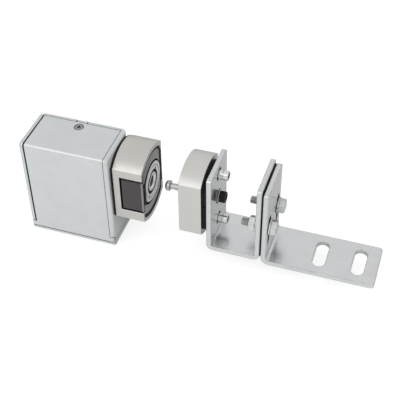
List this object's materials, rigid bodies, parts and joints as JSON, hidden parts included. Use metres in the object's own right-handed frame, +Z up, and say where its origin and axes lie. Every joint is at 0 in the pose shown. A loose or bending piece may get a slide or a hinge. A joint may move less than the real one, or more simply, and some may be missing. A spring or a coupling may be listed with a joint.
{
  "type": "electromagnetic gate lock",
  "caption": "Electromagnetic gate lock: folded sheet box with a round two-flat latch head, and a pinned strike block on rubber pads in a slotted adjustable bracket.",
  "frame": {"origin": "centre of the box's back face, in the middle of the four mounting holes", "axes": "+X points from the box along its head to the strike, -Y faces the cover, +Z is up"},
  "size_m": [0.345, 0.06, 0.11],
  "materials": {
    "zinc_sheet": "bright zinc plate with soft grain",
    "satin_head": "warm satin",
    "dark_core": "dark phosphate",
    "disc_metal": "turned satin",
    "satin_block": "satin",
    "bar_zinc": "mottled zinc plate",
    "bright_bolt": "bright zinc plate",
    "black_steel": "black oxide",
    "rubber": "matt",
    "latch_steel": "ground",
    "spring_steel": "drawn wire",
    "solenoid_steel": "zinc plate",
    "bobbin_plastic": "moulded",
    "copper": "enamelled wire",
    "black_plastic": "moulded",
    "board": "solder mask",
    "relay_plastic": "moulded",
    "terminal_plastic": "moulded",
    "brass": "turned"
  },
  "bodies": {
    "lock_body": {"back_channel": "zinc_sheet", "front_cover": "zinc_sheet", "cover_screws": "bright_bolt", "cable_grommet": "rubber", "head_gasket": "rubber", "head_shell": "satin_head", "head_core": "dark_core", "latch_guide": "latch_steel", "receiver_disc": "disc_metal", "head_screws": "bright_bolt", "return_spring": "spring_steel", "solenoid_frame": "solenoid_steel", "solenoid_bobbin": "bobbin_plastic", "solenoid_coil": "copper", "solenoid_screws": "bright_bolt", "switch_body": "black_plastic", "switch_bracket": "solenoid_steel", "switch_screws": "bright_bolt", "circuit_board": "board", "board_relay": "relay_plastic", "board_capacitor": "black_plastic", "terminal_block": "terminal_plastic", "board_standoffs": "brass", "board_screws": "bright_bolt"},
    "latch": {"latch_plate": "latch_steel", "plunger": "latch_steel", "plunger_nut": "bright_bolt"},
    "switch_arm": {"switch_lever": "spring_steel"},
    "cradle": {"u_bracket": "bar_zinc", "bracket_gasket": "rubber", "pad_inner": "rubber", "pad_outer": "rubber", "adjusting_bolts": "bright_bolt", "bolt_washers": "bright_bolt", "bolt_nuts": "bright_bolt"},
    "block": {"strike_block": "satin_block", "strike_pin": "bright_bolt", "guide_studs": "bright_bolt", "stud_sleeves": "rubber", "centre_bolt": "black_steel", "centre_washer": "black_steel"},
    "l_body": {"l_bracket": "bar_zinc"}
  },
  "joints": [
    {"name": "latch_slide", "type": "slide", "parent": "lock_body", "child": "latch", "axis": [0, 0, 1], "range_m": [0, 0.007], "stiffness_N_per_m": 300, "springref_m": -0.006, "deforming": ["return_spring"]},
    {"name": "switch_lever_pivot", "type": "hinge", "parent": "lock_body", "child": "switch_arm", "pos_m": [-0.014, -0.019, -0.0072], "axis": [0, -1, 0], "range_deg": [0, 20]},
    {"name": "strike_approach", "type": "slide", "parent": "lock_body", "child": "cradle", "axis": [-1, 0, 0], "range_m": [0, 0.0352]},
    {"name": "bracket_adjust", "type": "slide", "parent": "cradle", "child": "l_body", "axis": [0, 0, 1], "range_m": [-0.009, 0.018]},
    {"name": "block_float", "type": "slide", "parent": "cradle", "child": "block", "axis": [1, 0, 0], "range_m": [0, 0.0012], "stiffness_N_per_m": 20000, "springref_m": -0.0002, "deforming": ["pad_inner", "pad_outer"]}
  ],
  "couplings": [
    {"joint": "switch_lever_pivot", "follows": "latch_slide", "rad_per_m": 49.8}
  ]
}
